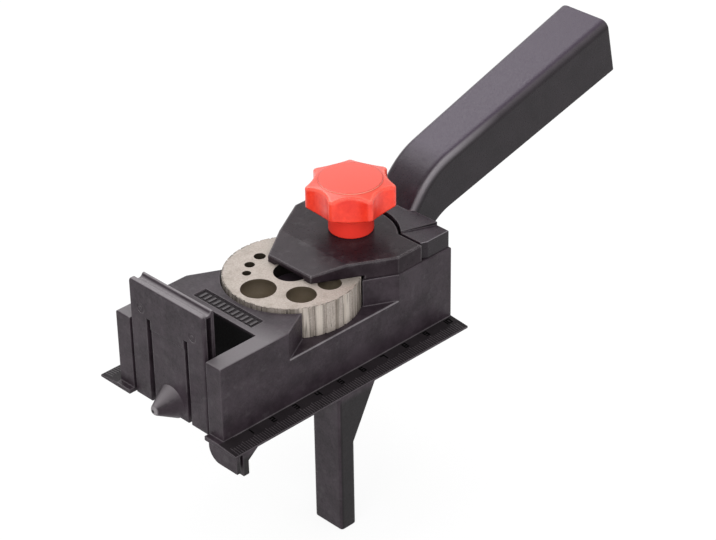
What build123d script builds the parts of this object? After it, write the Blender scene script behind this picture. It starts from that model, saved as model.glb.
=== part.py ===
from build123d import *
from math import cos, radians, sin, sqrt
import os

# Doweling jig. All lengths are in millimetres.
# The origin is on the underside of the base, on the turning axis of the drum.
# +X runs towards the handle, +Y to the left side and +Z up.

# Base plate
base_front = -56.0
base_rear = 49.5
base_width = 66.2
base_thickness = 1.5
flange_edge = 0.7

# Body block that stands on the base plate
body_front = -53.9
body_width = 50.2
body_height = 28.5
body_wall = 2.8
body_edge_radius = 0.6
floor_thickness = 3.0
rib_thickness = 2.0
rib_pitch = 16.0
side_rib_offset = 8.5

# Drum and its seat
seat_height = 18.5
seat_gap = 0.1
drum_radius = 23.1
drum_proud = 1.4
pocket_gap = 0.5
hub_radius = 6.0
hub_height = 7.4
hub_fit = 0.06
bore_circle_radius = 14.7
rim_groove_count = 36
rim_groove_radius = 0.45

# Bores of the drum: diameter, and angle from the working place at the front
drum_bores = (
    (12.0, 0.0),
    (10.0, 59.5),
    (8.0, 104.6),
    (7.0, 146.0),
    (6.0, 184.5),
    (5.0, 217.0),
    (4.5, 245.0),
    (4.0, 272.5),
    (3.5, 296.8),
    (3.0, 317.9),
)
drill_clearance = 0.5

# Finger notches that bare the drum's rim on both sides
notch_outer_length = 50.0
notch_inner_length = 28.0
notch_inner_width = 38.6

# Well behind the front slide, and the nameplate recess
well_rear = -32.7
well_width = 36.8
plate_recess_front = -30.6
plate_recess_rear = -25.2
plate_recess_width = 28.0
plate_recess_depth = 0.6

# Front slide
slide_width = 35.4
slide_bottom = 0.1
slide_height = 44.1
slide_setback = 0.1
front_plate = 1.7
rear_plate = 1.2
guide_depth = 3.0
rear_plate_width = 32.8
slide_core_width = 25.6
panel_width = 16.0
panel_recess = 0.3
groove_width = 1.9
groove_top = 32.0
guide_gap = 0.25
guide_top_drop = 5.0
groove_depth = 3.2
bridge_thickness = 2.2
bridge_dip = 1.3
slide_corner_radius = 1.5
slide_rim_radius = 0.7
slide_lip_rise = 0.4
mark_radius = 1.7
mark_depth = 0.15
mark_pin_share = 0.45
mark_offset = 12.4
mark_height = 34.7

# Centring cone on the slide
cone_height = 4.7
cone_base_radius = 5.9
cone_tip_radius = 1.8
cone_length = 7.8

# Fence lugs under the near edge of the base
fence_offset = 20.0
post_front = -11.0
post_thickness = 6.7
post_length = 53.0
post_gusset_length = 9.5
post_gusset_drop = 18.0
post_edge_radius = 1.2
lug_front = -55.7
lug_plate = 1.5
lug_groove = 1.2
lug_rib = 2.3
lug_length = 6.3
lug_rib_length = 8.6
lug_rib_width = 2.6
lug_rib_radius = 0.6
lug_corner_radius = 5.0
lug_gusset_length = 4.1
lug_gusset_drop = 3.2

# Clamp cover
cover_thickness = 6.5
cover_nose = -1.0
cover_nose_width = 20.4
cover_kink = 25.0
cover_width = 49.4
cover_rear = 35.8
tongue_rear = 41.5
tongue_width = 28.0
nose_drop = 2.5
slope_start = 10.0
clamp_gap = 0.08
drum_rim_gap = 1.0
relief_width = 14.0
relief_depth = 0.9
relief_rear = 8.0
cover_edge_radius = 0.5

# Knob with its stud
knob_x = 27.5
knob_lobes = 7
knob_radius = 16.95
knob_flank_radius = 12.34
knob_corner_radius = 1.4
knob_edge_radius = 0.9
collar_edge_radius = 0.5
knob_lobe_angle = 46.2
collar_radius = 7.7
collar_height = 6.8
knob_underside_rise = 4.3
knob_side_height = 6.1
knob_shoulder_rise = 1.6
disc_radius = 10.8
disc_step = 0.3
dome_rise = 0.3
stud_radius = 2.5
stud_in_knob = 12.0
stud_fit = 0.05
stud_passage_gap = 0.3
insert_radius = 4.0
insert_bottom = 4.0
insert_height = 10.0
stud_end = 2.5

# Lift spring round the stud
spring_wire_radius = 0.35
spring_wire_sides = 6
spring_radius = 3.15
spring_turns = 3.5
spring_pocket_gap = 0.45
spring_pocket_depth = 4.0

# Handle: block on the body's rear top, and the bar that rises from it
rear_gap = 0.8
block_width = 49.0
block_rear = 48.9
block_corner_length = 2.4
block_corner_depth = 1.0
block_edge_radius = 0.4
pad_half_front = 14.0
pad_half_rear = 19.2
pad_front_rise = 0.4
pad_rear_rise = 1.1
bar_end_top = (144.0, 74.6)
bar_end_bottom = (148.2, 54.3)
bar_top_slope = 0.296
bar_underside_slope = 0.271
knee_foot = (47.0, 35.3)
knee_slope = 1.43
knee_radius = 28.0
heel_x = 62.0
heel_drop = 6.5
heel_radius = 18.0
bar_root_half = 9.0
bar_end_half = 11.1
bar_edge_radius = 3.2
bar_end_radius = 1.0
bar_wall = 2.8
bar_rib_pitch = 15.0
bar_core_front = 72.0

# Screws that hold the handle
screw_radius = 1.9
screw_head_radius = 3.4
screw_head_height = 2.2
screw_length = 8.0
screw_x = 42.6
screw_offset = 16.5
screw_passage_gap = 0.2
screw_cross_length = 3.8
screw_cross_width = 0.8
screw_cross_depth = 1.3

# Sizes that follow from the ones above
base_length = base_rear - base_front
body_length = base_rear - body_front
body_middle = (body_front + base_rear) / 2
side_y = -base_width / 2
lug_rear = lug_front + lug_plate + lug_groove + lug_rib
pocket_radius = drum_radius + pocket_gap
drum_bottom = seat_height + seat_gap
drum_top = body_height + drum_proud
drum_height = drum_top - drum_bottom
cover_bottom = body_height
cover_top = cover_bottom + cover_thickness
clamp_height = drum_top + clamp_gap
nose_top = cover_top - nose_drop
tongue_sagitta = tongue_rear - cover_rear
tongue_radius = (tongue_sagitta**2 + (tongue_width / 2) ** 2) / (2 * tongue_sagitta)
tongue_middle = tongue_rear - tongue_radius
block_front = cover_rear + rear_gap
block_top = body_height + cover_thickness
recess_radius = tongue_radius + rear_gap
recess_half = sqrt(recess_radius**2 - (block_front - tongue_middle) ** 2)
slide_front = body_front + slide_setback
slide_gap_front = slide_front + front_plate
slide_gap_rear = slide_gap_front + guide_depth
slide_rear = slide_gap_rear + rear_plate
slide_top = slide_bottom + slide_height
star_low = cover_top + collar_height
star_corner_low = star_low + knob_underside_rise
star_corner_high = star_corner_low + knob_side_height
disc_height = star_corner_high + knob_shoulder_rise
knob_top = disc_height + disc_step + dome_rise
spring_bottom = body_height
spring_top = cover_bottom + spring_pocket_depth
core_front = well_rear + body_wall
core_rear = base_rear - body_wall
core_width = body_width - 2 * body_wall
core_height = seat_height - floor_thickness
top_core_front = pocket_radius + body_wall
top_core_height = body_height - floor_thickness
cut_margin = 1.0
pick_margin = 0.01

os.makedirs("parts", exist_ok=True)


# Jig body
def side_edges_at(block, height):
    """Long edges on the block's two side faces at a height."""
    long_edges = block.edges().filter_by(Axis.X)
    return long_edges.filter_by(
        lambda e: abs(abs(e.center().Y) - body_width / 2) < pick_margin
        and abs(e.center().Z - height) < pick_margin
    )


def core_islands():
    """Ribs and bosses that stay standing in the open underside."""
    Circle(hub_radius + body_wall, mode=Mode.SUBTRACT)
    with Locations((-bore_circle_radius, 0)):
        Circle(drum_bores[0][0] / 2 + drill_clearance + body_wall, mode=Mode.SUBTRACT)
    with Locations((knob_x, 0)):
        Circle(insert_radius + body_wall, mode=Mode.SUBTRACT)
    with Locations((screw_x, screw_offset), (screw_x, -screw_offset)):
        Circle(screw_head_radius + rib_thickness, mode=Mode.SUBTRACT)
    with Locations((0, side_rib_offset), (0, -side_rib_offset)):
        Rectangle(2 * base_length, rib_thickness, mode=Mode.SUBTRACT)
    first_rib = -rib_pitch * int(-core_front / rib_pitch)
    rib_count = int((core_rear - first_rib) / rib_pitch) + 1
    with Locations(*[(first_rib + rib_pitch * i, 0) for i in range(rib_count)]):
        Rectangle(rib_thickness, body_width, mode=Mode.SUBTRACT)


with BuildPart() as jig_body:
    # Base plate and block
    with BuildSketch(Plane.YZ.offset(base_front)):
        with BuildLine():
            Polyline(
                (base_width / 2, 0),
                (base_width / 2, flange_edge),
                (body_width / 2, base_thickness),
                (-body_width / 2, base_thickness),
                (-base_width / 2, flange_edge),
                (-base_width / 2, 0),
                close=True,
            )
        make_face()
    extrude(amount=base_rear - base_front)
    with BuildSketch():
        with Locations((body_middle, 0)):
            Rectangle(body_length, body_width)
    extrude(amount=body_height)
    fillet(jig_body.faces().sort_by(Axis.Z)[-1].edges(), body_edge_radius)

    # Long fence post with its gusset, flush with the edge of the base
    with BuildSketch(Plane.XZ.offset(fence_offset)):
        with BuildLine():
            Polyline(
                (post_front, flange_edge),
                (post_front, -post_length),
                (post_front + post_thickness, -post_length),
                (post_front + post_thickness, -post_gusset_drop),
                (post_front + post_thickness + post_gusset_length, 0),
                (post_front + post_thickness + post_gusset_length, flange_edge),
                close=True,
            )
        make_face()
    extrude(amount=base_width / 2 - fence_offset)
    post_edges = jig_body.edges().filter_by(Axis.Z).filter_by_position(
        Axis.Z, -post_length, 0, (False, False)
    )
    fillet(post_edges, post_edge_radius)
    fillet(jig_body.faces().sort_by(Axis.Z)[0].edges(), post_edge_radius / 2)

    # Short front lug: rounded plate, groove, and a longer rib with its gusset
    with BuildSketch(Plane.YZ.offset(lug_front)):
        with BuildLine():
            Polyline(
                (-fence_offset, flange_edge),
                (side_y, flange_edge),
                (side_y, -lug_length),
                (-fence_offset - lug_corner_radius, -lug_length),
            )
            RadiusArc(
                (-fence_offset - lug_corner_radius, -lug_length),
                (-fence_offset, -lug_length + lug_corner_radius),
                -lug_corner_radius,
            )
            Line((-fence_offset, -lug_length + lug_corner_radius), (-fence_offset, flange_edge))
        make_face()
    extrude(amount=lug_rear - lug_front)
    with BuildSketch(Plane.XZ.offset(-side_y - lug_rib_width)):
        with BuildLine():
            Polyline(
                (lug_rear - lug_rib, flange_edge),
                (lug_rear - lug_rib, -lug_rib_length),
                (lug_rear, -lug_rib_length),
                (lug_rear, -lug_gusset_drop),
                (lug_rear + lug_gusset_length, 0),
                (lug_rear + lug_gusset_length, flange_edge),
                close=True,
            )
        make_face()
    extrude(amount=lug_rib_width)
    rib_end = jig_body.edges().filter_by_position(
        Axis.Z, -lug_rib_length - pick_margin, -lug_rib_length + pick_margin
    )
    fillet(rib_end.filter_by(lambda e: e.center().X < post_front - lug_rib), lug_rib_radius)
    with BuildSketch(Plane.XY.offset(-lug_length)):
        with Locations((lug_front + lug_plate + lug_groove / 2, side_y)):
            Rectangle(lug_groove, 2 * lug_rib_width)
    extrude(amount=lug_length, mode=Mode.SUBTRACT)

    # Finger notches and drum pocket
    with BuildSketch(Plane.XY.offset(seat_height)):
        with BuildLine():
            Polyline(
                (-notch_outer_length / 2, body_width / 2),
                (-notch_inner_length / 2, notch_inner_width / 2),
                (notch_inner_length / 2, notch_inner_width / 2),
                (notch_outer_length / 2, body_width / 2),
                (notch_outer_length / 2, body_width),
                (-notch_outer_length / 2, body_width),
                close=True,
            )
        make_face()
        mirror(about=Plane.XZ)
        Circle(pocket_radius)
    extrude(amount=body_height, mode=Mode.SUBTRACT)
    fillet(side_edges_at(jig_body, seat_height), body_edge_radius)

    # Hub that the drum turns on
    with BuildSketch(Plane.XY.offset(core_height)):
        Circle(hub_radius)
    extrude(amount=seat_height + hub_height - core_height)
    hub_rim = jig_body.edges().filter_by(GeomType.CIRCLE).filter_by_position(
        Axis.Z, seat_height + hub_height - pick_margin, seat_height + hub_height + pick_margin
    )
    chamfer(hub_rim, hub_radius / 12)

    # Well between the jaws, open at the front and below
    with BuildSketch():
        with Locations(((base_front + well_rear) / 2 - cut_margin, 0)):
            Rectangle(well_rear - base_front + 2 * cut_margin, well_width)
    extrude(amount=body_height, mode=Mode.SUBTRACT)

    # Guides inside the jaws that hold the slide
    with BuildSketch():
        with Locations(((slide_gap_front + slide_gap_rear) / 2, 0)):
            Rectangle(guide_depth - 2 * guide_gap, well_width)
            Rectangle(guide_depth, slide_core_width + 4 * guide_gap, mode=Mode.SUBTRACT)
    extrude(amount=body_height - guide_top_drop)

    # Nameplate recess
    with BuildSketch(Plane.XY.offset(body_height)):
        with Locations(((plate_recess_front + plate_recess_rear) / 2, 0)):
            Rectangle(plate_recess_rear - plate_recess_front, plate_recess_width)
    extrude(amount=-plate_recess_depth, mode=Mode.SUBTRACT)

    # Open underside with ribs and bosses
    with BuildSketch():
        with Locations(((core_front + core_rear) / 2, 0)):
            Rectangle(core_rear - core_front, core_width)
        core_islands()
    extrude(amount=core_height, mode=Mode.SUBTRACT)
    with BuildSketch(Plane.XY.offset(core_height)):
        with Locations(((top_core_front + core_rear) / 2, 0)):
            Rectangle(core_rear - top_core_front, core_width)
        core_islands()
    extrude(amount=top_core_height - core_height, mode=Mode.SUBTRACT)

    # Drill passage under the working place
    with BuildSketch():
        with Locations((-bore_circle_radius, 0)):
            Circle(drum_bores[0][0] / 2 + drill_clearance)
    extrude(amount=body_height, mode=Mode.SUBTRACT)

    # Stud passage and the seat of its insert
    with BuildSketch():
        with Locations((knob_x, 0)):
            Circle(stud_radius + stud_passage_gap)
    extrude(amount=body_height, mode=Mode.SUBTRACT)
    with BuildSketch():
        with Locations((knob_x, 0)):
            Circle(insert_radius)
    extrude(amount=insert_bottom + insert_height, mode=Mode.SUBTRACT)

    # Screw passages
    with BuildSketch():
        with Locations((screw_x, screw_offset), (screw_x, -screw_offset)):
            Circle(screw_head_radius + screw_passage_gap)
    extrude(amount=top_core_height, mode=Mode.SUBTRACT)
    with BuildSketch():
        with Locations((screw_x, screw_offset), (screw_x, -screw_offset)):
            Circle(screw_radius + screw_passage_gap)
    extrude(amount=body_height, mode=Mode.SUBTRACT)
jig_body.part.label = "jig_body"
export_step(jig_body.part, "parts/jig_body.step")


# Drum
with BuildPart() as drum:
    with BuildSketch(Plane.XY.offset(drum_bottom)):
        RegularPolygon(drum_radius, rim_groove_count, rotation=180 / rim_groove_count)
        Circle(hub_radius + hub_fit, mode=Mode.SUBTRACT)
        with PolarLocations(drum_radius, rim_groove_count, start_angle=180 / rim_groove_count):
            Circle(rim_groove_radius, mode=Mode.SUBTRACT)
        for diameter, angle in drum_bores:
            with PolarLocations(bore_circle_radius, 1, start_angle=180 + angle):
                Circle(diameter / 2, mode=Mode.SUBTRACT)
    extrude(amount=drum_height)
drum.part.label = "drum"
export_step(drum.part, "parts/drum.step")


# Front slide
with BuildPart() as front_slide:
    # Front plate with rounded top corners
    with BuildSketch(Plane.YZ.offset(slide_front)) as plate_face:
        with Locations((0, slide_bottom + slide_height / 2)):
            Rectangle(slide_width, slide_height)
        fillet(plate_face.vertices().group_by(Axis.Y)[-1], slide_corner_radius)
    extrude(amount=front_plate)
    fillet(front_slide.faces().sort_by(Axis.X)[0].edges(), slide_rim_radius)

    # Core and rear plate, closed at the top by a bridge
    with BuildSketch(Plane.XY.offset(slide_bottom)):
        with Locations(((slide_gap_front + slide_rear) / 2, 0)):
            Rectangle(slide_rear - slide_gap_front, slide_core_width)
        with Locations((slide_rear - rear_plate / 2, 0)):
            Rectangle(rear_plate, rear_plate_width)
    extrude(amount=slide_height)
    with BuildSketch(Plane.XY.offset(slide_top - bridge_thickness)):
        with Locations(((slide_gap_front + slide_rear) / 2, 0)):
            Rectangle(slide_rear - slide_gap_front, rear_plate_width)
    extrude(amount=bridge_thickness)

    # Shallow dip between the front lip and the rounded rear lip
    with BuildSketch(Plane.XZ):
        with BuildLine():
            ThreePointArc(
                (slide_gap_front, slide_top),
                ((slide_gap_front + slide_gap_rear) / 2, slide_top - bridge_dip),
                (slide_gap_rear, slide_top - slide_lip_rise),
            )
            ThreePointArc(
                (slide_gap_rear, slide_top - slide_lip_rise),
                ((slide_gap_rear + slide_rear) / 2, slide_top),
                (slide_rear, slide_top - slide_lip_rise),
            )
            Polyline(
                (slide_rear, slide_top - slide_lip_rise),
                (slide_rear, slide_top + cut_margin),
                (slide_gap_front, slide_top + cut_margin),
                (slide_gap_front, slide_top),
            )
        make_face()
    extrude(amount=slide_width, both=True, mode=Mode.SUBTRACT)

    # Two grooves beside the centre panel, and the panel's small step
    groove_y = (panel_width + groove_width) / 2
    with BuildSketch(Plane.YZ.offset(slide_front)):
        with Locations((groove_y, groove_top / 2), (-groove_y, groove_top / 2)):
            Rectangle(groove_width, groove_top)
    extrude(amount=groove_depth, mode=Mode.SUBTRACT)
    with BuildSketch(Plane.YZ.offset(slide_front)):
        with Locations((0, body_height / 2)):
            Rectangle(panel_width, body_height)
    extrude(amount=panel_recess, mode=Mode.SUBTRACT)

    # Round ejector marks
    with BuildSketch(Plane.YZ.offset(slide_front)):
        with Locations((mark_offset, mark_height), (-mark_offset, mark_height)):
            Circle(mark_radius)
            Circle(mark_radius * mark_pin_share, mode=Mode.SUBTRACT)
    extrude(amount=mark_depth, mode=Mode.SUBTRACT)

    # Centring cone
    cone_foot = slide_front + panel_recess
    cone_tip = slide_front - cone_length
    with BuildSketch(Plane.XZ):
        with BuildLine():
            Polyline(
                (cone_tip, cone_height),
                (cone_foot, cone_height),
                (cone_foot, cone_height + cone_base_radius),
                (cone_tip + cone_tip_radius / 2, cone_height + cone_tip_radius),
            )
            TangentArc(
                (cone_tip, cone_height),
                (cone_tip + cone_tip_radius / 2, cone_height + cone_tip_radius),
                tangent=(0, 1),
            )
        make_face()
    revolve(axis=Axis((cone_tip, 0, cone_height), (1, 0, 0)))
front_slide.part.label = "front_slide"
export_step(front_slide.part, "parts/front_slide.step")


# Clamp cover
with BuildPart() as cover:
    with BuildSketch(Plane.XY.offset(cover_bottom)):
        with BuildLine():
            Polyline(
                (cover_rear, tongue_width / 2),
                (cover_rear, cover_width / 2),
                (cover_kink, cover_width / 2),
                (cover_nose, cover_nose_width / 2),
                (cover_nose, -cover_nose_width / 2),
                (cover_kink, -cover_width / 2),
                (cover_rear, -cover_width / 2),
                (cover_rear, -tongue_width / 2),
            )
            ThreePointArc(
                (cover_rear, -tongue_width / 2),
                (tongue_rear, 0),
                (cover_rear, tongue_width / 2),
            )
        make_face()
    extrude(amount=cover_thickness)

    # The top falls away towards the nose
    with BuildSketch(Plane.XZ):
        with BuildLine():
            Polyline(
                (slope_start, cover_top),
                (cover_nose, nose_top),
                (cover_nose - cut_margin, nose_top),
                (cover_nose - cut_margin, cover_top + cut_margin),
                (slope_start, cover_top + cut_margin),
                close=True,
            )
        make_face()
    extrude(amount=cover_width, both=True, mode=Mode.SUBTRACT)
    top_faces = cover.faces().filter_by(lambda f: f.normal_at().Z > 0.9)
    rim = top_faces.edges().filter_by(lambda e: abs(e.center().X - slope_start) > pick_margin)
    fillet(rim, cover_edge_radius)

    # Room for the drum under the nose, with a relief over its middle
    with BuildSketch(Plane.XY.offset(cover_bottom)):
        Circle(drum_radius + drum_rim_gap)
    extrude(amount=clamp_height - cover_bottom, mode=Mode.SUBTRACT)
    with BuildSketch(Plane.XY.offset(clamp_height)):
        with Locations(((cover_nose + relief_rear - cut_margin) / 2, 0)):
            Rectangle(relief_rear - cover_nose + cut_margin, relief_width)
    extrude(amount=relief_depth, mode=Mode.SUBTRACT)

    # Stud passage and spring pocket
    with BuildSketch(Plane.XY.offset(cover_bottom)):
        with Locations((knob_x, 0)):
            Circle(stud_radius + stud_fit)
    extrude(amount=cover_thickness, mode=Mode.SUBTRACT)
    with BuildSketch(Plane.XY.offset(cover_bottom)):
        with Locations((knob_x, 0)):
            Circle(spring_radius + spring_wire_radius + spring_pocket_gap)
    extrude(amount=spring_pocket_depth, mode=Mode.SUBTRACT)
cover.part.label = "cover"
export_step(cover.part, "parts/cover.step")


# Knob: a seven-lobed star on a round collar
def lobe_point(radius, steps):
    """Point of the star at a number of half lobes from the first lobe."""
    angle = radians(knob_lobe_angle + steps * 180 / knob_lobes)
    return (knob_x + radius * cos(angle), radius * sin(angle))


def crosses_height(edge, height):
    """True for an edge with one end below a height and the other above it."""
    low, high = sorted((edge.position_at(0).Z, edge.position_at(1).Z))
    return low < height < high


with BuildPart() as knob:
    with BuildSketch(Plane.XY.offset(cover_top)) as star:
        with BuildLine():
            for lobe in range(knob_lobes):
                ThreePointArc(
                    lobe_point(knob_radius, 2 * lobe),
                    lobe_point(knob_flank_radius, 2 * lobe + 1),
                    lobe_point(knob_radius, 2 * lobe + 2),
                )
        make_face()
        fillet(star.vertices(), knob_corner_radius)
    extrude(amount=knob_top - cover_top)
    # Collar, coned underside, coned shoulder and slightly domed top disc
    with BuildSketch(Plane.XZ):
        with BuildLine():
            Polyline(
                (knob_x, knob_top),
                (knob_x, cover_top),
                (knob_x + collar_radius, cover_top),
                (knob_x + collar_radius, star_low),
                (knob_x + knob_radius, star_corner_low),
                (knob_x + knob_radius, star_corner_high),
                (knob_x + disc_radius, disc_height),
                (knob_x + disc_radius, disc_height + disc_step),
            )
            TangentArc(
                (knob_x, knob_top),
                (knob_x + disc_radius, disc_height + disc_step),
                tangent=(1, 0),
            )
        make_face()
    revolve(axis=Axis((knob_x, 0, 0), (0, 0, 1)), mode=Mode.INTERSECT)
    # Softened rim between the lobes' flanks and the shoulder, and the collar's foot
    rim_middle = (star_corner_low + star_corner_high) / 2
    upper_edges = knob.edges().filter_by_position(
        Axis.Z, rim_middle, disc_height - pick_margin, (False, False)
    )
    fillet(upper_edges.filter_by(lambda e: not crosses_height(e, rim_middle)), knob_edge_radius)
    foot_edges = knob.edges().filter_by_position(Axis.Z, cover_top - pick_margin, cover_top + pick_margin)
    fillet(foot_edges, collar_edge_radius)
    # Seat of the moulded-in stud
    with BuildSketch(Plane.XY.offset(cover_top)):
        with Locations((knob_x, 0)):
            Circle(stud_radius)
    extrude(amount=stud_in_knob, mode=Mode.SUBTRACT)
knob.part.label = "knob"
export_step(knob.part, "parts/knob.step")

with BuildPart() as knob_stud:
    with BuildSketch(Plane.XY.offset(stud_end)):
        with Locations((knob_x, 0)):
            Circle(stud_radius)
    extrude(amount=cover_top + stud_in_knob - stud_end)
    chamfer(knob_stud.edges().sort_by(Axis.Z)[0], stud_radius / 5)
knob_stud.part.label = "knob_stud"
export_step(knob_stud.part, "parts/knob_stud.step")

# Threaded insert in the body
with BuildPart() as stud_insert:
    with BuildSketch(Plane.XY.offset(insert_bottom)):
        with Locations((knob_x, 0)):
            Circle(insert_radius)
            Circle(stud_radius + stud_fit, mode=Mode.SUBTRACT)
    extrude(amount=insert_height)
stud_insert.part.label = "stud_insert"
export_step(stud_insert.part, "parts/stud_insert.step")

# Lift spring
with BuildPart() as lift_spring:
    spring_rise = spring_top - spring_bottom - 2 * spring_wire_radius
    with BuildLine():
        Helix(
            pitch=spring_rise / spring_turns,
            height=spring_rise,
            radius=spring_radius,
            center=(knob_x, 0, spring_bottom + spring_wire_radius),
        )
    with BuildSketch(Plane.XZ):
        with Locations((knob_x + spring_radius, spring_bottom + spring_wire_radius)):
            RegularPolygon(spring_wire_radius, spring_wire_sides)
    sweep(is_frenet=True)
lift_spring.part.label = "lift_spring"
export_step(lift_spring.part, "parts/lift_spring.step")


# Handle
def bar_top(x):
    """Height of the bar's straight top line."""
    return bar_end_top[1] + bar_top_slope * (x - bar_end_top[0])


def bar_underside(x):
    """Height of the bar's straight underside line."""
    return bar_end_bottom[1] + bar_underside_slope * (x - bar_end_bottom[0])


def bar_half(x):
    """Half width of the bar, which widens towards its end."""
    share = (x - foot_x) / (bar_end_bottom[0] - foot_x)
    return bar_root_half + (bar_end_half - bar_root_half) * share


def above_chord(edge):
    """True for an edge above the straight line from the bar's foot to its end."""
    slope = (bar_end_top[1] - body_height) / (bar_end_top[0] - foot_x)
    return edge.center().Z - body_height > slope * (edge.center().X - foot_x)


knee_x = (
    knee_foot[1] - knee_slope * knee_foot[0] - bar_end_top[1] + bar_top_slope * bar_end_top[0]
) / (bar_top_slope - knee_slope)
foot_x = knee_foot[0] - (knee_foot[1] - body_height) / knee_slope

with BuildPart() as bar:
    # Side profile: foot, knee, end and heel behind the body
    with BuildSketch(Plane.XZ) as bar_side:
        with BuildLine():
            FilletPolyline(
                (foot_x, body_height),
                (knee_x, bar_top(knee_x)),
                bar_end_top,
                radius=knee_radius,
            )
            Line(bar_end_top, bar_end_bottom)
            FilletPolyline(
                bar_end_bottom,
                (heel_x, bar_underside(heel_x)),
                (base_rear, body_height - heel_drop),
                radius=heel_radius,
            )
            Polyline(
                (base_rear, body_height - heel_drop),
                (base_rear, body_height),
                (foot_x, body_height),
            )
        make_face()
    extrude(amount=base_width, both=True)
    # Plan taper
    bar_reach = bar_end_bottom[0] + cut_margin
    with BuildSketch():
        with BuildLine():
            Polyline(
                (foot_x, bar_half(foot_x)),
                (bar_reach, bar_half(bar_reach)),
                (bar_reach, -bar_half(bar_reach)),
                (foot_x, -bar_half(foot_x)),
                close=True,
            )
        make_face()
    extrude(amount=2 * bar_end_top[1], mode=Mode.INTERSECT)
    # Rounded long top edges
    side_edges = bar.edges().filter_by(lambda e: abs(e.center().Y) > bar_root_half / 2)
    fillet(side_edges.filter_by(above_chord), bar_edge_radius)
    end_edges = bar.faces().sort_by(Axis.X)[-1].edges()
    fillet(end_edges.sort_by(Axis.Z)[1:], bar_end_radius)

with BuildPart() as bar_core:
    # Hollow cells of the bar, open below, with a rib between each two
    cell_count = int((bar_end_top[0] - bar_core_front) / bar_rib_pitch)
    cell_length = (bar_end_top[0] - bar_wall - bar_core_front) / cell_count - rib_thickness
    with BuildSketch(Plane.XZ):
        for cell in range(cell_count):
            cell_front = bar_core_front + cell * (cell_length + rib_thickness)
            cell_rear = cell_front + cell_length
            with BuildLine():
                Polyline(
                    (cell_front, bar_underside(cell_front) - cut_margin),
                    (cell_front, bar_top(cell_front) - bar_wall),
                    (cell_rear, bar_top(cell_rear) - bar_wall),
                    (cell_rear, bar_underside(cell_rear) - cut_margin),
                    close=True,
                )
            make_face()
    extrude(amount=base_width, both=True)
    with BuildSketch():
        with BuildLine():
            Polyline(
                (foot_x, bar_half(foot_x) - bar_wall),
                (bar_reach, bar_half(bar_reach) - bar_wall),
                (bar_reach, bar_wall - bar_half(bar_reach)),
                (foot_x, bar_wall - bar_half(foot_x)),
                close=True,
            )
        make_face()
    extrude(amount=2 * bar_end_top[1], mode=Mode.INTERSECT)

with BuildPart() as handle:
    # Block on the body's rear top, hollowed in front for the cover's tongue
    with BuildSketch(Plane.XY.offset(body_height)):
        with BuildLine():
            Polyline(
                (block_front, recess_half),
                (block_front, block_width / 2 - block_corner_depth),
                (block_front + block_corner_length, block_width / 2),
                (block_rear, block_width / 2),
                (block_rear, -block_width / 2),
                (block_front + block_corner_length, -block_width / 2),
                (block_front, block_corner_depth - block_width / 2),
                (block_front, -recess_half),
            )
            ThreePointArc(
                (block_front, -recess_half),
                (tongue_middle + recess_radius, 0),
                (block_front, recess_half),
            )
        make_face()
    extrude(amount=cover_thickness)
    block_rim = handle.faces().sort_by(Axis.Z)[-1].edges()
    fillet(block_rim.filter_by(lambda e: e.center().X > block_front + pick_margin), block_edge_radius)
    # Raised pad inside a crease that spreads from the recess to the rear corners
    with BuildSketch(Plane.XY.offset(block_top - block_edge_radius)):
        Polygon(
            (block_front, pad_half_front),
            (block_rear, pad_half_rear),
            (block_rear, -pad_half_rear),
            (block_front, -pad_half_front),
            align=None,
        )
        with Locations((tongue_middle, 0)):
            Circle(recess_radius, mode=Mode.SUBTRACT)
    extrude(amount=block_edge_radius + pad_rear_rise)
    with BuildSketch(Plane.XZ):
        with BuildLine():
            Polyline(
                (block_front, block_top + pad_front_rise),
                (block_rear, block_top + pad_rear_rise),
                (block_rear, block_top + 2 * pad_rear_rise),
                (block_front, block_top + 2 * pad_rear_rise),
                close=True,
            )
        make_face()
    extrude(amount=block_width, both=True, mode=Mode.SUBTRACT)
    add(bar.part)
    add(bar_core.part, mode=Mode.SUBTRACT)
    # Holes for the screws
    with BuildSketch(Plane.XY.offset(body_height)):
        with Locations((screw_x, screw_offset), (screw_x, -screw_offset)):
            Circle(screw_radius)
    extrude(amount=top_core_height + screw_length - body_height, mode=Mode.SUBTRACT)
handle.part.label = "handle"
export_step(handle.part, "parts/handle.step")

# Screws that hold the handle, driven from below
with BuildPart() as handle_screws:
    with BuildSketch(Plane.XY.offset(top_core_height - screw_head_height)):
        with Locations((screw_x, screw_offset), (screw_x, -screw_offset)):
            Circle(screw_head_radius)
    extrude(amount=screw_head_height)
    with BuildSketch(Plane.XY.offset(top_core_height)):
        with Locations((screw_x, screw_offset), (screw_x, -screw_offset)):
            Circle(screw_radius)
    extrude(amount=screw_length)
    # Cross recess in each head, which faces down
    with BuildSketch(Plane.XY.offset(top_core_height - screw_head_height)):
        with Locations((screw_x, screw_offset), (screw_x, -screw_offset)):
            Rectangle(screw_cross_length, screw_cross_width)
            Rectangle(screw_cross_width, screw_cross_length)
    extrude(amount=screw_cross_depth, mode=Mode.SUBTRACT)
handle_screws.part.label = "handle_screws"
export_step(handle_screws.part, "parts/handle_screws.step")
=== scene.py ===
import math

import bpy
from mathutils import Matrix, Vector


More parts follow.
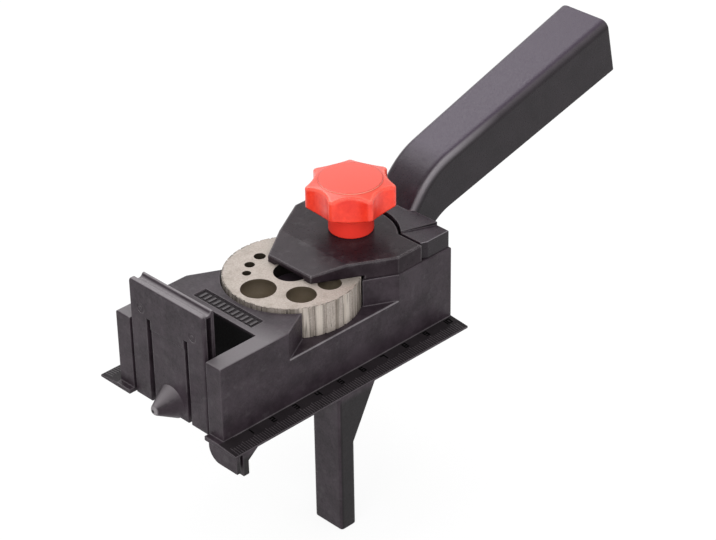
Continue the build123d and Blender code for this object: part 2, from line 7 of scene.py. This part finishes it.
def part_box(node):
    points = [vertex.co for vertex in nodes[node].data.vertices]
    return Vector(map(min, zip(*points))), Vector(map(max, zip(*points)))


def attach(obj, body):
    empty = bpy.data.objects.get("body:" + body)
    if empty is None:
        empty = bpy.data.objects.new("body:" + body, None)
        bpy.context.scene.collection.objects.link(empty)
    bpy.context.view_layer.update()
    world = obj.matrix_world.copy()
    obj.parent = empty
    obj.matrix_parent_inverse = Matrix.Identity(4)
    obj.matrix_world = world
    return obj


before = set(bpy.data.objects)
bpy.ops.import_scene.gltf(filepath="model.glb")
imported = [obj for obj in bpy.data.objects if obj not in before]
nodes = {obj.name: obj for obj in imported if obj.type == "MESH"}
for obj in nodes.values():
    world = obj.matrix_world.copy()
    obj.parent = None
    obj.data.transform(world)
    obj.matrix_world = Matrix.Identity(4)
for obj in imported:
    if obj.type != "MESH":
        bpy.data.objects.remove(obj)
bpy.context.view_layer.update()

# Doweling jig, in metres, in the frame of the CAD model:
# the origin is under the base on the drum's axis, +X towards the handle, +Z up.
MM = 0.001

# Sizes shared with the CAD model
base_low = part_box("jig_body")[0]
base_front = -56.0 * MM
base_rear = 49.5 * MM
base_half_width = 33.1 * MM
base_thickness = 1.5 * MM
flange_edge = 0.7 * MM
body_half_width = 25.1 * MM
ruler_zero = -54.4 * MM
well_x = (-49.4 * MM, -32.6 * MM)
well_y = (-18.5 * MM, 18.5 * MM)
cone_tip_x = -61.6 * MM
cone_top_z = 10.6 * MM
drum_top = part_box("drum")[1].z
drum_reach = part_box("drum")[1].x
knob_x = 27.5 * MM
knob_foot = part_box("knob")[0].z
collar_height = 6.8 * MM
disc_radius = 10.8 * MM


# Node helpers
def new_material(name):
    """An empty node material with its tree and principled shader."""
    material = bpy.data.materials.new(name)
    material.use_nodes = True
    return material, material.node_tree, material.node_tree.nodes["Principled BSDF"]


def add_node(tree, kind, **settings):
    """A new node with its attributes and sockets set by name."""
    made = tree.nodes.new(kind)
    for name, value in settings.items():
        if hasattr(made, name):
            setattr(made, name, value)
        else:
            made.inputs[name.replace("_", " ")].default_value = value
    return made


def feed(tree, socket, value):
    """Links a socket to another one, or sets it to a plain value."""
    if isinstance(value, bpy.types.NodeSocket):
        tree.links.new(value, socket)
    else:
        socket.default_value = value


def calc(tree, operation, *values):
    """A Math node's result, from sockets and plain numbers."""
    made = add_node(tree, "ShaderNodeMath", operation=operation)
    for socket, value in zip(made.inputs, values):
        feed(tree, socket, value)
    return made.outputs[0]


class Paint:
    """A node material whose colour is built up in layers, by place, facing and noise."""

    def __init__(self, name, colour):
        self.material, self.tree, self.shader = new_material(name)
        texture = add_node(self.tree, "ShaderNodeTexCoord")
        self.coords = texture.outputs["Object"]
        self.normal = texture.outputs["Normal"]
        self.colour = (*colour, 1.0)
        self.gloss = None

    def calc(self, operation, *values):
        """A Math node's result, from sockets and plain numbers."""
        return calc(self.tree, operation, *values)

    def product(self, first, *others):
        """The product of values."""
        for other in others:
            first = self.calc("MULTIPLY", first, other)
        return first

    def vector(self, operation, *values):
        """A Vector Math node's result, from sockets and plain vectors."""
        made = add_node(self.tree, "ShaderNodeVectorMath", operation=operation)
        for socket, value in zip(made.inputs, values):
            feed(self.tree, socket, value)
        return made.outputs["Value" if operation in ("DOT_PRODUCT", "LENGTH") else "Vector"]

    def part(self, vector, axis):
        """One component of a vector."""
        made = add_node(self.tree, "ShaderNodeSeparateXYZ")
        self.tree.links.new(vector, made.inputs[0])
        return made.outputs[axis]

    def at(self, axis):
        """The place along an axis, in metres."""
        return self.part(self.coords, axis)

    def facing(self, axis):
        """The normal's component along an axis."""
        return self.part(self.normal, axis)

    def reach(self, axis_x=0.0):
        """The distance from an upright axis at an X."""
        flat = self.vector("MULTIPLY_ADD", self.coords, (1.0, 1.0, 0.0), (-axis_x, 0.0, 0.0))
        return self.vector("LENGTH", flat)

    def noise(self, scale, detail=3.0, roughness=0.55, coords=None):
        """A noise texture, scale in features per metre."""
        made = add_node(
            self.tree, "ShaderNodeTexNoise", Scale=scale, Detail=detail, Roughness=roughness
        )
        self.tree.links.new(coords or self.coords, made.inputs["Vector"])
        return made.outputs["Fac"]

    def ramp(self, value, start, end, low=0.0, high=1.0):
        """Maps start..end of a value to low..high, and holds it there beyond them."""
        made = add_node(
            self.tree, "ShaderNodeMapRange",
            From_Min=start, From_Max=end, To_Min=low, To_Max=high
        )
        self.tree.links.new(value, made.inputs["Value"])
        return made.outputs["Result"]

    def spread(self, texture, low=0.0, high=1.0):
        """Maps a texture's middle range to low..high."""
        return self.ramp(texture, 0.3, 0.7, low, high)

    def within(self, value, low, high, soft):
        """1 between two bounds and 0 outside them, with a soft change."""
        above = self.ramp(value, low - soft, low)
        below = self.ramp(value, high, high + soft, 1.0, 0.0)
        return self.product(above, below)

    def rounded_edges(self, radius):
        """Normals that round each sharp edge a little."""
        made = add_node(self.tree, "ShaderNodeBevel", samples=6, Radius=radius)
        return made.outputs["Normal"]

    def edges(self, radius, low, high):
        """1 on sharp edges, growing as the rounded edge's normal Z goes from low to high."""
        rounded = self.rounded_edges(radius)
        flat = add_node(self.tree, "ShaderNodeNewGeometry").outputs["Normal"]
        # The cosine of the angle between the two normals, 1 away from edges
        likeness = self.vector("DOT_PRODUCT", rounded, flat)
        sharp = self.ramp(likeness, 0.88, 0.995, 1.0, 0.0)
        return self.product(sharp, self.ramp(self.part(rounded, "Z"), low, high))

    def tint(self, factor, colour, share=1.0):
        """Blends the colour towards another by a factor, up to a share."""
        if share < 1.0:
            factor = self.product(factor, share)
        made = add_node(self.tree, "ShaderNodeMix", data_type="RGBA")
        self.tree.links.new(factor, made.inputs["Factor"])
        feed(self.tree, made.inputs[6], self.colour)
        made.inputs[7].default_value = (*colour, 1.0)
        self.colour = made.outputs[2]

    def bump(self, height, strength, distance, before=None):
        """Gives the shader a bumped normal after another one, distance in metres."""
        made = add_node(self.tree, "ShaderNodeBump", Strength=strength, Distance=distance)
        self.tree.links.new(height, made.inputs["Height"])
        if before is not None:
            self.tree.links.new(before, made.inputs["Normal"])
        self.tree.links.new(made.outputs["Normal"], self.shader.inputs["Normal"])

    def finish(self):
        """Gives the shader the colour and the roughness, and returns the material."""
        self.tree.links.new(self.colour, self.shader.inputs["Base Color"])
        self.tree.links.new(self.gloss, self.shader.inputs["Roughness"])
        return self.material


# Materials
black_dark = (0.0185, 0.0124, 0.0165)
black_light = (0.0365, 0.0263, 0.0335)
# Pale tints for painted highlights on edges
black_edge_highlight = (0.17, 0.15, 0.163)
bright_edge_highlight = (0.27, 0.25, 0.26)
scuff_tint = (0.070, 0.062, 0.067)
# Painted shade on side faces
side_shade_tint = (0.005, 0.004, 0.0045)


class Plastic(Paint):
    """Matt moulded plastic: fine grain, clouds in colour, specks in gloss, softened edges."""

    def __init__(self, name, dark, light, roughness, grain, edge, gloss_level):
        super().__init__(name, dark)
        self.edge = edge
        clouds = self.noise(110.0, 5.0, 0.75)
        self.tint(self.ramp(clouds, 0.38, 0.62), light)
        specks = self.noise(1500.0, 2.0)
        self.gloss = self.spread(specks, roughness - 0.6 * grain, roughness + 0.7 * grain)
        self.bump(specks, grain, 0.2 * MM, self.rounded_edges(edge))
        self.shader.inputs["IOR"].default_value = 1.5
        self.shader.inputs["Specular IOR Level"].default_value = gloss_level

    def scuff(self, share):
        """Adds paler patches from handling."""
        self.tint(self.ramp(self.noise(240.0, 4.0, 0.65), 0.56, 0.68, 0.0, share), scuff_tint)

    def sides(self):
        """1 on faces that look left or right."""
        return self.ramp(self.calc("ABSOLUTE", self.facing("Y")), 0.70, 0.95)

    def level(self):
        """1 on faces that look straight up, fading to 0 on sloping ones."""
        return self.ramp(self.facing("Z"), 0.70, 0.995)

    def wear_and_highlight_front_tops(self, tint, lowest):
        """Makes the tops in front of a slanting line paler, above a height: rubbed wear and a
        painted highlight.
        """
        line_slant = 0.25
        tops = self.ramp(self.facing("Z"), 0.6, 0.9)
        along = self.calc("MULTIPLY_ADD", self.at("Y"), line_slant, self.at("X"))
        front = self.ramp(along, -39.0 * MM, -29.0 * MM, 1.0, 0.0)
        high = self.ramp(self.at("Z"), lowest, lowest + 5.0 * MM)
        self.tint(self.product(tops, front, high), tint)

    def paint_edge_highlights(self, tint, share, where=None):
        """Paints highlights on the upper and upright edges, all of them or by a mask."""
        edges = self.product(self.edges(2.0 * self.edge, -0.3, 0.6), share)
        if where is not None:
            edges = self.product(edges, where)
        self.tint(edges, tint)


def body_plastic():
    """The body's: tops paler at the front from rubbed wear and a painted highlight, painted
    shade on the lower sides and in the well, painted edge highlights.
    """
    paint = Plastic(
        "dark_plastic", black_dark, black_light,
        roughness=0.42, grain=0.15, edge=0.4 * MM, gloss_level=0.20
    )
    paint.scuff(0.30)
    # Painted shade on the side faces below the flange
    under_base = paint.ramp(paint.at("Z"), -2.5 * MM, -0.5 * MM, 1.0, 0.0)
    paint.tint(paint.product(paint.sides(), under_base), side_shade_tint, share=0.85)
    # Paler tops at the front: rubbed wear and a painted highlight
    paint.wear_and_highlight_front_tops((0.130, 0.117, 0.125), lowest=15.0 * MM)
    # Painted highlights on the edges
    paint.paint_edge_highlights(black_edge_highlight, share=0.52)
    # Painted shade in the well, which is also made rougher
    along = paint.within(paint.at("X"), *well_x, 0.3 * MM)
    across = paint.within(paint.at("Y"), *well_y, 0.2 * MM)
    under_top = paint.ramp(paint.at("Z"), 27.2 * MM, 28.2 * MM, 1.0, 0.0)
    well = paint.product(along, across, under_top)
    paint.tint(well, (0.002, 0.0016, 0.0018))
    paint.gloss = paint.calc("ADD", paint.gloss, paint.product(well, 0.5))
    return paint.finish()


def front_slide_plastic():
    """The slide's: top paler from rubbed wear and a painted highlight on the cone, painted edge
    highlights but none at the cone's foot, a painted highlight ring round the cone's tip, and
    painted shade on the cone's flat tip.
    """
    paint = Plastic(
        "slide_plastic", black_dark, black_light,
        roughness=0.42, grain=0.15, edge=0.5 * MM, gloss_level=0.20
    )
    paint.scuff(0.30)
    # Paler tops at the front and on the cone: rubbed wear and a painted highlight
    paint.wear_and_highlight_front_tops((0.165, 0.148, 0.158), lowest=-10.0 * MM)
    # Painted highlights on the edges above the cone, none at its foot
    above_cone = paint.ramp(paint.at("Z"), cone_top_z + 0.9 * MM, cone_top_z + 1.9 * MM)
    paint.paint_edge_highlights(bright_edge_highlight, share=0.5, where=above_cone)
    # Painted highlight ring round the cone's tip
    from_tip = paint.calc("SUBTRACT", paint.at("X"), cone_tip_x)
    tip_highlight_ring = paint.ramp(from_tip, 0.5 * MM, 1.0 * MM, 1.0, 0.0)
    paint.tint(tip_highlight_ring, bright_edge_highlight, share=0.7)
    # Painted shade on the cone's flat tip
    tip = paint.ramp(from_tip, 0.04 * MM, 0.15 * MM, 1.0, 0.0)
    paint.tint(tip, (0.003, 0.0025, 0.0028))
    return paint.finish()


def clamp_plastic():
    """The cover's: darker and smoother, with scuffs and painted edge highlights."""
    paint = Plastic(
        "cover_plastic", (0.0155, 0.0098, 0.0130), (0.026, 0.0180, 0.0225),
        roughness=0.30, grain=0.06, edge=0.6 * MM, gloss_level=0.10
    )
    paint.scuff(0.35)
    # Painted highlights on the edges
    paint.paint_edge_highlights(bright_edge_highlight, share=0.85)
    return paint.finish()


def grip_plastic():
    """The handle's: painted shade on its sides, a painted highlight on the top along the bar and
    on the upper corners at its knee, and painted edge highlights.
    """
    paint = Plastic(
        "handle_plastic", (0.0190, 0.0130, 0.0180), (0.0300, 0.0212, 0.0285),
        roughness=0.33, grain=0.15, edge=0.4 * MM, gloss_level=0.22
    )
    paint.scuff(0.12)
    # Painted shade on the side faces
    paint.tint(paint.sides(), side_shade_tint, share=0.55)
    # Painted highlight on the top along the bar, behind the block
    behind_block = paint.ramp(paint.at("X"), 50.0 * MM, 65.0 * MM)
    paint.tint(paint.product(paint.level(), behind_block), (0.058, 0.043, 0.065))
    # Painted highlight on the upper corners at the knee, fading along the bar
    corners = paint.within(paint.calc("ABSOLUTE", paint.facing("Y")), 0.62, 0.80, 0.22)
    upper = paint.ramp(paint.facing("Z"), 0.1, 0.4)
    knee = paint.ramp(paint.at("X"), 66.0 * MM, 90.0 * MM, 0.8, 0.12)
    paint.tint(paint.product(corners, upper, knee), (0.20, 0.185, 0.20))
    # Painted highlights on the edges
    paint.paint_edge_highlights(black_edge_highlight, share=0.3)
    return paint.finish()


def knob_plastic():
    """The knob's: glossy red, painted light on its top, a thin dark line of painted shade round
    its top disc, a painted shadow on its lower edges, a collar made brighter by painted light,
    and painted edge highlights.
    """
    paint = Plastic(
        "red_plastic", (0.76, 0.026, 0.013), (0.95, 0.056, 0.025),
        roughness=0.26, grain=0.015, edge=0.9 * MM, gloss_level=0.40
    )
    # Painted light on the top faces
    top = paint.level()
    paint.tint(top, (0.67, 0.053, 0.026))
    reach = paint.reach(knob_x)
    # Painted shade as a thin dark line round the top disc
    line = paint.within(reach, disc_radius - 0.1 * MM, disc_radius + 0.1 * MM, 0.15 * MM)
    beside = paint.within(reach, disc_radius - 0.9 * MM, disc_radius + 0.9 * MM, 0.2 * MM)
    paint.tint(paint.product(line, top), (0.55, 0.020, 0.012), share=0.5)
    # Painted shadow on the lower edges, under the head
    paint.tint(paint.edges(paint.edge, -0.15, -0.6), (0.22, 0.008, 0.006), share=0.9)
    # Painted light: the collar brighter
    collar_top = knob_foot + collar_height
    collar = paint.ramp(paint.at("Z"), collar_top - 0.2 * MM, collar_top, 1.0, 0.0)
    paint.tint(collar, (1.0, 0.050, 0.032))
    # Painted highlights on the edges, none beside the disc's line
    off_line = paint.calc("SUBTRACT", 1.0, paint.product(beside, top))
    paint.paint_edge_highlights((1.0, 0.36, 0.26), share=1.0, where=off_line)
    return paint.finish()


def trim_plastic(name, dark, light, roughness, grain, edge, gloss_level, edge_highlight_tint, edge_highlight_share):
    """A thin piece's plastic, with painted edge highlights."""
    paint = Plastic(name, dark, light, roughness, grain, edge, gloss_level)
    paint.paint_edge_highlights(edge_highlight_tint, edge_highlight_share)
    return paint.finish()


def sintered_steel():
    """The drum's: pale warm grey speckled metal, drawn streaks on the rim, painted shade in the
    bores and on the top's outer edge.
    """
    paint = Paint("sintered_steel", (0.245, 0.212, 0.187))
    grains = paint.noise(1900.0, 3.0, 0.7)
    clouds = paint.noise(120.0, 4.0)
    stains = paint.noise(260.0, 5.0, 0.6)
    paint.tint(paint.ramp(grains, 0.25, 0.75), (0.43, 0.376, 0.334))
    paint.tint(paint.ramp(stains, 0.48, 0.68, 0.0, 0.45), (0.19, 0.160, 0.130))
    level = paint.calc("ABSOLUTE", paint.facing("Z"))
    upright = paint.ramp(level, 0.3, 0.7, 1.0, 0.0)

    # The bores lie inside the rim: painted shade makes them browner and darker, lighter deep
    # down, darker at the lip and where narrow
    rim_from, rim_to = 20.8 * MM, 21.2 * MM
    reach = paint.reach()
    bores = paint.product(upright, paint.ramp(reach, rim_from, rim_to, 1.0, 0.0), 0.92)
    paint.tint(paint.product(bores, paint.spread(stains, 0.8, 1.0)), (0.23, 0.180, 0.118))
    lip = paint.ramp(paint.at("Z"), drum_top - 5.5 * MM, drum_top - 1.2 * MM, 0.0, 0.92)
    paint.tint(paint.product(bores, lip), (0.066, 0.050, 0.032))
    narrow = paint.ramp(paint.at("Y"), 6.6 * MM, 7.4 * MM, 0.0, 0.85)
    paint.tint(paint.product(bores, narrow), (0.022, 0.017, 0.012))
    # Painted shade in the centre bore
    centre = paint.ramp(reach, 8.0 * MM, 8.5 * MM, 1.0, 0.0)
    paint.tint(paint.product(upright, centre), (0.010, 0.008, 0.006))

    # The rim's streaks, columns, thin lines and scratches, drawn out along its height
    drawn = add_node(paint.tree, "ShaderNodeMapping", Scale=(1.0, 1.0, 0.03))
    paint.tree.links.new(paint.coords, drawn.inputs["Vector"])
    streaks = paint.noise(620.0, 2.0, coords=drawn.outputs["Vector"])
    columns = paint.noise(330.0, 1.0, coords=drawn.outputs["Vector"])
    rim = paint.product(upright, paint.ramp(reach, rim_from, rim_to))
    dark_streaks = paint.ramp(streaks, 0.54, 0.62, 0.0, 0.7)
    paint.tint(paint.product(rim, dark_streaks), (0.15, 0.125, 0.10))
    pale_columns = paint.ramp(columns, 0.50, 0.60, 0.0, 0.65)
    paint.tint(paint.product(rim, pale_columns), (0.57, 0.508, 0.45))
    lines = paint.within(columns, 0.488, 0.494, 0.010)
    paint.tint(paint.product(rim, lines), (0.045, 0.036, 0.028), share=0.85)
    scratches = paint.within(streaks, 0.470, 0.474, 0.010)
    paint.tint(paint.product(rim, scratches), (0.060, 0.048, 0.038), share=0.6)

    # Painted shade of the rim's notches, seen as a broken dark line on the top's outer edge
    outline = paint.ramp(reach, drum_reach - 0.60 * MM, drum_reach - 0.35 * MM)
    on_top = paint.product(outline, paint.ramp(level, 0.3, 0.7))
    notches = paint.product(on_top, paint.ramp(streaks, 0.54, 0.46, 0.15, 0.75))
    paint.tint(notches, (0.050, 0.040, 0.031))

    paint.bump(grains, 0.25, 0.1 * MM, paint.rounded_edges(0.15 * MM))
    paint.gloss = paint.spread(clouds, 0.42, 0.58)
    paint.shader.inputs["Metallic"].default_value = 0.25
    return paint.finish()


def bright_metal(name, dark, light, roughness, scale):
    """Plated or turned metal with fine marks."""
    paint = Paint(name, dark)
    marks = paint.noise(scale, 4.0)
    paint.tint(paint.spread(marks), light)
    paint.bump(marks, 0.15, 0.1 * MM)
    paint.gloss = paint.spread(marks, roughness - 0.06, roughness + 0.08)
    paint.shader.inputs["Metallic"].default_value = 1.0
    return paint.finish()


mark_plastic = trim_plastic(
    "mark_plastic", (0.001, 0.001, 0.001), (0.002, 0.002, 0.002),
    0.7, 0.05, 0.1 * MM, 0.02, (0.01, 0.01, 0.01), 0.1
)
tick_plastic = trim_plastic(
    "tick_plastic", (0.024, 0.019, 0.022), (0.038, 0.031, 0.035),
    0.5, 0.05, 0.1 * MM, 0.4, black_edge_highlight, 0.2
)
# Painted highlight for the notch floor's outer edge
notch_highlight_plastic = trim_plastic(
    "notch_highlight_plastic", (0.10, 0.088, 0.096), (0.18, 0.162, 0.173),
    0.35, 0.05, 0.1 * MM, 0.5, (0.4, 0.38, 0.39), 0.3
)
# Painted highlight for the wall's foot
foot_highlight_plastic = trim_plastic(
    "foot_highlight_plastic", (0.055, 0.047, 0.052), (0.095, 0.085, 0.090),
    0.35, 0.05, 0.1 * MM, 0.4, (0.2, 0.18, 0.19), 0.3
)
strip_plastic = trim_plastic(
    "strip_plastic", (0.0115, 0.0090, 0.0105), (0.0165, 0.0130, 0.0150),
    0.55, 0.08, 0.2 * MM, 0.12, black_edge_highlight, 0.2
)
zinc_steel = bright_metal("zinc_steel", (0.48, 0.48, 0.47), (0.62, 0.61, 0.60), 0.36, 900.0)
brass = bright_metal("brass", (0.52, 0.36, 0.14), (0.68, 0.49, 0.22), 0.34, 700.0)

node_materials = {
    "jig_body": body_plastic(),
    "handle": grip_plastic(),
    "cover": clamp_plastic(),
    "front_slide": front_slide_plastic(),
    "knob": knob_plastic(),
    "drum": sintered_steel(),
    "knob_stud": zinc_steel,
    "handle_screws": zinc_steel,
    "lift_spring": zinc_steel,
    "stud_insert": brass,
}
for node_name, material in node_materials.items():
    for material_slot in nodes[node_name].material_slots:
        material_slot.material = material


# Mesh helpers
box_quads = ((0, 3, 2, 1), (4, 5, 6, 7), (0, 1, 5, 4), (1, 2, 6, 5), (2, 3, 7, 6), (3, 0, 4, 7))


def mesh_piece(name, vertices, faces, material, body):
    """Makes a mesh piece, in the frame of the CAD model, that rides on a body."""
    mesh = bpy.data.meshes.new(name)
    mesh.from_pydata(vertices, [], faces)
    mesh.validate()
    mesh.materials.append(material)
    piece = bpy.data.objects.new(name, mesh)
    bpy.context.scene.collection.objects.link(piece)
    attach(piece, body)


def box_part(vertices, faces, low, high):
    """Adds a box to the lists of a mesh."""
    start = len(vertices)
    for z in (low[2], high[2]):
        for x, y in ((low[0], low[1]), (high[0], low[1]), (high[0], high[1]), (low[0], high[1])):
            vertices.append((x, y, z))
    faces.extend(tuple(start + i for i in quad) for quad in box_quads)


def flange_strip(vertices, faces, side, x_low, x_high, y_low, y_high, rise):
    """Adds a thin plate on the sloping flange, at distances from the middle plane."""
    sunk = -0.02 * MM
    start = len(vertices)
    for lift in (sunk, rise):
        for x, y in ((x_low, y_low), (x_high, y_low), (x_high, y_high), (x_low, y_high)):
            share = (y - body_half_width) / (base_half_width - body_half_width)
            height = base_thickness + (flange_edge - base_thickness) * share
            vertices.append((x, side * y, height + lift))
    for quad in box_quads:
        turned = quad if side > 0 else quad[::-1]
        faces.append(tuple(start + i for i in turned))


# Ruler on both flanges: dark strip, millimetre ticks, centimetre numerals, pale line painted as
# a highlight at the wall's foot
tick_half_width = 0.14 * MM
tick_far = 32.8 * MM
tick_near = 29.4 * MM
long_tick_near = 28.8 * MM
tick_rise = 0.08 * MM
ticks_from = base_front + 1.0 * MM
ticks_to = base_rear - 1.0 * MM
numeral_width = 1.3 * MM
numeral_height = 1.9 * MM
numeral_stroke = 0.5 * MM
numeral_pitch = 2.1 * MM
numeral_near = 26.1 * MM
numeral_rise = 0.06 * MM
strip_y = (25.15 * MM, 33.05 * MM)
strip_rise = 0.02 * MM
# Painted highlight as a pale line at the wall's foot
foot_highlight_front = -50.0 * MM
foot_highlight_y = (body_half_width, 25.42 * MM)
foot_highlight_rise = 0.12 * MM

# Lit bars of each numeral: top, upper right, lower right, bottom, lower left, upper left, middle
numeral_bars = {
    "0": "abcdef", "1": "bc", "2": "abdeg", "3": "abcdg", "4": "bcfg",
    "5": "acdfg", "6": "acdefg", "7": "abc", "8": "abcdefg", "9": "abcdfg",
}
# Each bar's ends: across from the middle in widths, and up from the foot in heights
bar_ends = {
    "a": (-0.5, 0.5, 1.0, 1.0),
    "b": (0.5, 0.5, 0.5, 1.0),
    "c": (0.5, 0.5, 0.0, 0.5),
    "d": (-0.5, 0.5, 0.0, 0.0),
    "e": (-0.5, -0.5, 0.0, 0.5),
    "f": (-0.5, -0.5, 0.5, 1.0),
    "g": (-0.5, 0.5, 0.5, 0.5),
}


def numeral(vertices, faces, side, digit, middle_x):
    """Adds one numeral that reads from outside the flange."""
    half = numeral_stroke / 2
    far = numeral_near + numeral_height
    for bar in numeral_bars[digit]:
        left, right, low, high = bar_ends[bar]
        x_ends = sorted(middle_x - side * end * numeral_width for end in (left, right))
        flange_strip(
            vertices, faces, side, x_ends[0] - half, x_ends[1] + half,
            far - high * numeral_height - half, far - low * numeral_height + half, numeral_rise
        )


def flange_ruler(side, label):
    """The strip, ticks and numerals of one flange, and the pale line at the wall's foot, a
    painted highlight.
    """
    strip, ticks, digits, line = (([], []) for _ in range(4))
    step = 0
    while ruler_zero + step * MM < ticks_to:
        x = ruler_zero + step * MM
        near = tick_near if step % 5 else long_tick_near
        if x > ticks_from:
            tick_x = (x - tick_half_width, x + tick_half_width)
            flange_strip(*ticks, side, *tick_x, near, tick_far, tick_rise)
        if step and step % 10 == 0:
            text = str(step // 10)
            for place, digit in enumerate(text):
                offset = (place - (len(text) - 1) / 2) * numeral_pitch
                numeral(*digits, side, digit, x - side * offset)
        step += 1
    line_x = (foot_highlight_front, base_rear - 0.3 * MM)
    flange_strip(*line, side, *line_x, *foot_highlight_y, foot_highlight_rise)
    strip_x = (base_front + 0.1 * MM, base_rear - 0.1 * MM)
    flange_strip(*strip, side, *strip_x, *strip_y, strip_rise)
    mesh_piece("strip_" + label, *strip, strip_plastic, "jig")
    mesh_piece("ticks_" + label, *ticks, tick_plastic, "jig")
    mesh_piece("numerals_" + label, *digits, mark_plastic, "jig")
    mesh_piece("foot_highlight_" + label, *line, foot_highlight_plastic, "jig")


flange_ruler(-1.0, "right")
flange_ruler(1.0, "left")

# Painted highlight as a pale line on the outer edge of each finger notch's floor: its length,
# and its Y and Z across
notch_half_length = 24.6 * MM
notch_profile = (
    (25.11 * MM, 18.10 * MM), (25.02 * MM, 18.42 * MM), (24.70 * MM, 18.51 * MM)
)


def notch_highlight(side, label):
    """A thin pale band round the notch floor's outer edge, a painted highlight."""
    vertices = []
    for x in (-notch_half_length, notch_half_length):
        for y, z in notch_profile:
            vertices.append((x, side * y, z))
    faces = [(0, 3, 4, 1), (1, 4, 5, 2)]
    if side > 0:
        faces = [face[::-1] for face in faces]
    mesh_piece("notch_highlight_" + label, vertices, faces, notch_highlight_plastic, "jig")


notch_highlight(-1.0, "right")
notch_highlight(1.0, "left")

# Dark floor and plain ribs in the shallow recess of the body's top
rib_count = 12
rib_pitch = 2.2 * MM
rib_first = -12.1 * MM
rib_half_width = 0.45 * MM

recess_floor = ([], [])
floor_low = (-30.58 * MM, -13.98 * MM, 27.88 * MM)
floor_high = (-25.22 * MM, 13.98 * MM, 27.92 * MM)
box_part(*recess_floor, floor_low, floor_high)
mesh_piece("recess_floor", *recess_floor, strip_plastic, "jig")
recess_ribs = ([], [])
for rib in range(rib_count):
    rib_y = rib_first + rib_pitch * rib
    rib_low = (-29.5 * MM, rib_y - rib_half_width, 27.9 * MM)
    rib_high = (-26.3 * MM, rib_y + rib_half_width, 28.2 * MM)
    box_part(*recess_ribs, rib_low, rib_high)
mesh_piece("recess_ribs", *recess_ribs, tick_plastic, "jig")


# Floor, light and camera
def white_rays(tree):
    """1 for the rays that see the white background: camera, glossy and transmission rays."""
    path = add_node(tree, "ShaderNodeLightPath")
    mirrored = calc(tree, "ADD", path.outputs["Is Camera Ray"], path.outputs["Is Glossy Ray"])
    seen = calc(tree, "ADD", mirrored, path.outputs["Is Transmission Ray"])
    seen.node.use_clamp = True
    return seen


def studio_floor(height):
    """A pale floor that stays nearly white to the camera and keeps the shadow."""
    half = 3.0
    white_strength = 1.03
    white_share = 0.86
    mesh = bpy.data.meshes.new("floor")
    corners = ((-half, -half), (half, -half), (half, half), (-half, half))
    mesh.from_pydata([(x, y, height) for x, y in corners], [], [(0, 1, 2, 3)])
    floor = bpy.data.objects.new("floor", mesh)
    bpy.context.scene.collection.objects.link(floor)
    material, tree, shader = new_material("floor_paper")
    shader.inputs["Base Color"].default_value = (0.82, 0.82, 0.82, 1.0)
    shader.inputs["Roughness"].default_value = 0.9
    white = add_node(tree, "ShaderNodeEmission", Strength=white_strength)
    blend = add_node(tree, "ShaderNodeMixShader")
    seen = calc(tree, "MULTIPLY", white_rays(tree), white_share)
    tree.links.new(seen, blend.inputs["Fac"])
    tree.links.new(shader.outputs["BSDF"], blend.inputs[1])
    tree.links.new(white.outputs["Emission"], blend.inputs[2])
    tree.links.new(blend.outputs["Shader"], tree.nodes["Material Output"].inputs["Surface"])
    mesh.materials.append(material)


def studio_world(strength):
    """Even soft light, white to the camera."""
    world = bpy.data.worlds.new("studio")
    bpy.context.scene.world = world
    world.use_nodes = True
    tree = world.node_tree
    background = tree.nodes["Background"]
    background.inputs["Color"].default_value = (1.0, 1.0, 1.0, 1.0)
    level = add_node(tree, "ShaderNodeMapRange", To_Min=strength, To_Max=1.0)
    tree.links.new(white_rays(tree), level.inputs["Value"])
    tree.links.new(level.outputs["Result"], background.inputs["Strength"])


def soft_lamp(name, place, size, power):
    """A square soft box at a place, turned to the jig, size in metres and power in watts."""
    target = Vector((0.03, 0.0, 0.02))
    data = bpy.data.lights.new(name, "AREA")
    data.shape = "SQUARE"
    data.size = size
    data.energy = power
    lamp = bpy.data.objects.new(name, data)
    lamp.location = place
    lamp.rotation_mode = "QUATERNION"
    lamp.rotation_quaternion = (target - Vector(place)).to_track_quat("-Z", "Y")
    bpy.context.scene.collection.objects.link(lamp)


def photo_camera():
    """The camera of the photograph, from its fitted angles, distance and focal length."""
    azimuth = math.radians(-43.980)
    elevation = math.radians(31.518)
    roll = math.radians(-0.957)
    place = Vector((-0.4541, -0.5020, 0.4450))
    photo_width = 716.0
    focal_length = 2420.0
    sensor_width = 36.0
    back = Vector((
        math.sin(azimuth) * math.cos(elevation),
        -math.cos(azimuth) * math.cos(elevation),
        math.sin(elevation),
    ))
    level = Vector((math.cos(azimuth), math.sin(azimuth), 0.0))
    upright = back.cross(level)
    right = level * math.cos(roll) + upright * math.sin(roll)
    up = upright * math.cos(roll) - level * math.sin(roll)
    data = bpy.data.cameras.new("camera")
    data.sensor_width = sensor_width
    data.lens = sensor_width * focal_length / photo_width
    data.clip_start = 0.05
    data.clip_end = 20.0
    camera = bpy.data.objects.new("camera", data)
    camera.matrix_world = Matrix((
        (right.x, up.x, back.x, place.x),
        (right.y, up.y, back.y, place.y),
        (right.z, up.z, back.z, place.z),
        (0.0, 0.0, 0.0, 1.0),
    ))
    bpy.context.scene.collection.objects.link(camera)
    bpy.context.scene.camera = camera


photo_camera()
studio_floor(base_low.z - 0.1 * MM)
studio_world(0.5)
soft_lamp("top_box", (0.12, 0.66, 1.05), 0.9, 9.0)
soft_lamp("rear_box", (0.75, 0.78, 0.62), 0.9, 1.5)
soft_lamp("left_box", (-1.1, -0.3, 0.75), 0.8, 4.2)
soft_lamp("key_box", (-0.45, -0.8, 0.9), 0.5, 4.3)
soft_lamp("low_box", (-1.05, -0.5, 0.36), 0.45, 2.0)
soft_lamp("edge_box", (0.65, -0.6, 0.7), 0.35, 0.4)
soft_lamp("strip_box", (0.14, -0.5, 0.72), 0.25, 0.9)

scene = bpy.context.scene
scene.view_settings.view_transform = "Standard"
